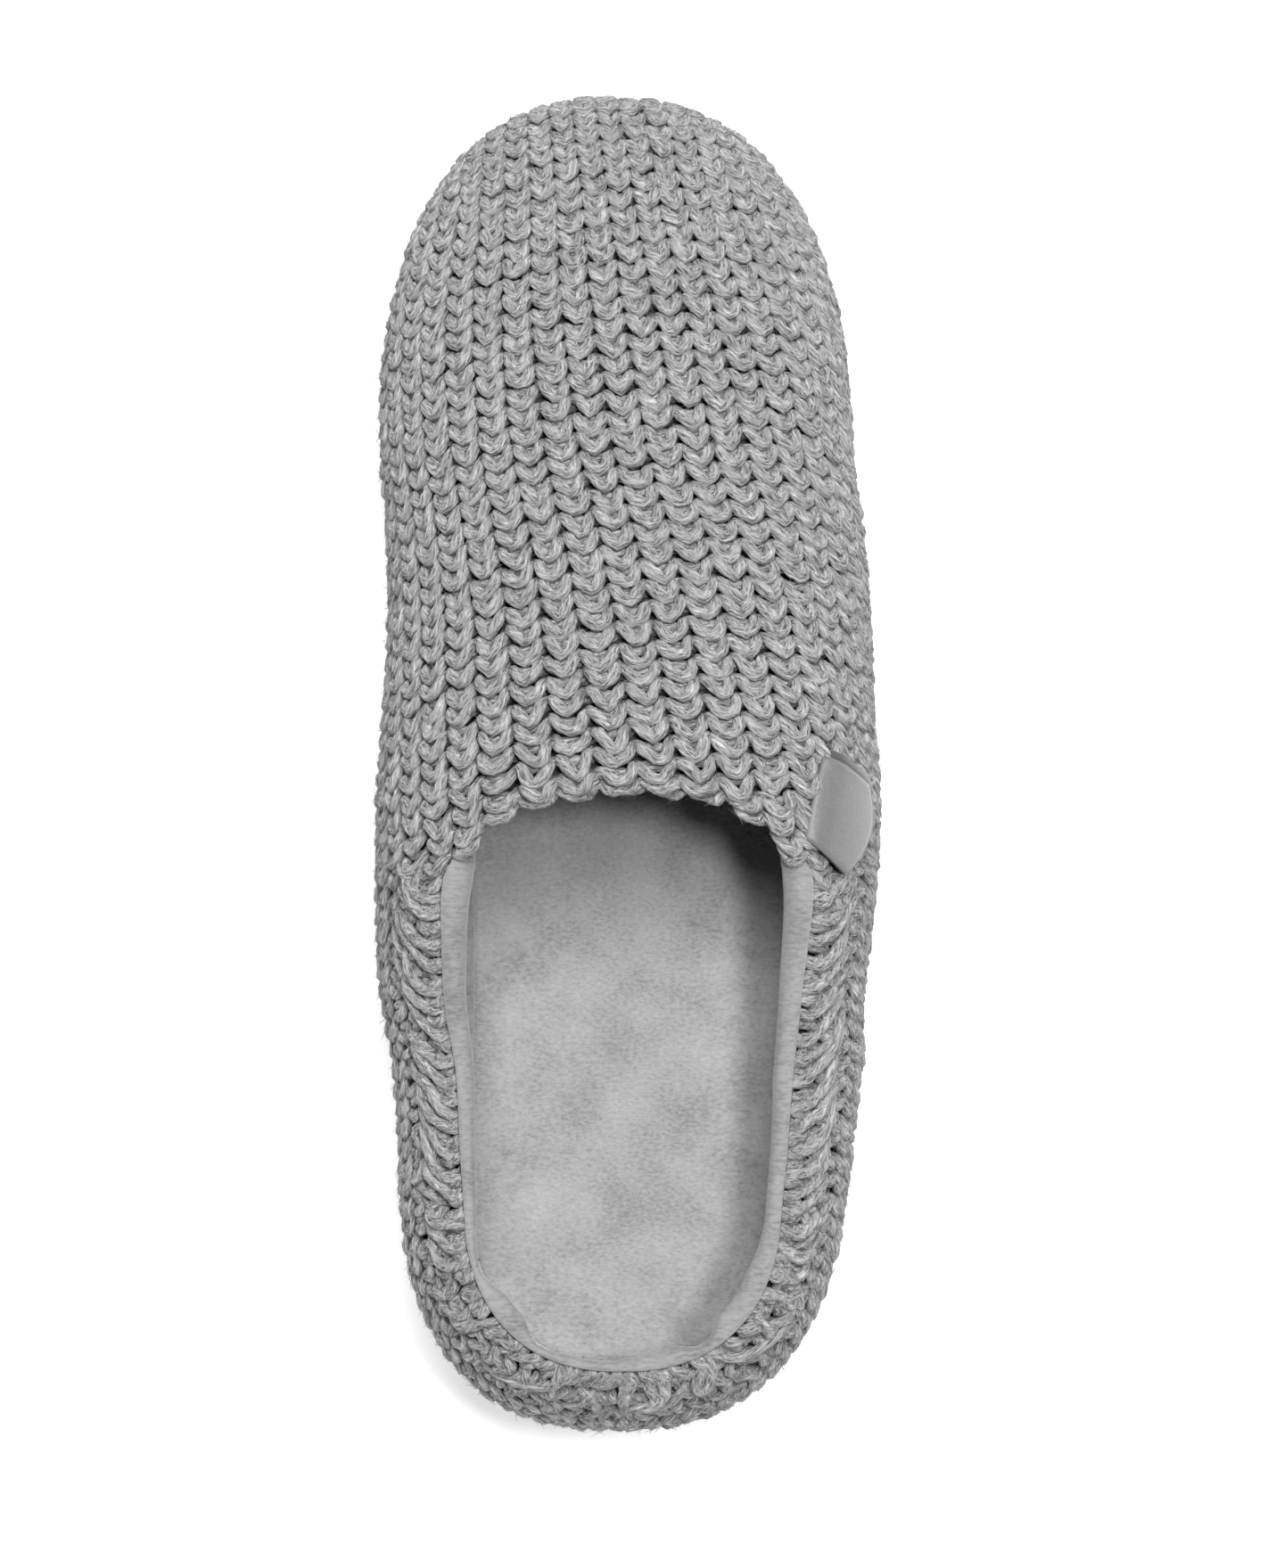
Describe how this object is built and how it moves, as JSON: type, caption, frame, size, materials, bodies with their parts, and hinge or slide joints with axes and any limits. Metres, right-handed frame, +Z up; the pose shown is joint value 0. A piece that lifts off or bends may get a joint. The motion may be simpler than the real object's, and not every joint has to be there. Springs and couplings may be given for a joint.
{
  "type": "knitted slipper",
  "caption": "Closed-heel house slipper with a padded knitted upper, plush lining, soft insole and a moulded grooved sole.",
  "frame": {"origin": "middle of the shoe's outline in plan, on the floor under the sole", "axes": "+Y from heel to toe along the shoe's length, +X to the outer side of the right foot, +Z up"},
  "size_m": [0.107, 0.282, 0.0746],
  "materials": {
    "knit": "chunky melange knit in light and mid grey, matt and slightly fuzzy",
    "plush": "short brushed plush pile, grey, matt",
    "sole_rubber": "matt dark grey moulded rubber",
    "ribbon": "woven grey ribbon with a soft satin sheen, plain"
  },
  "bodies": {
    "root": {"upper": "knit", "insole": "plush", "outsole": "sole_rubber", "label_tab": "ribbon"}
  },
  "joints": []
}
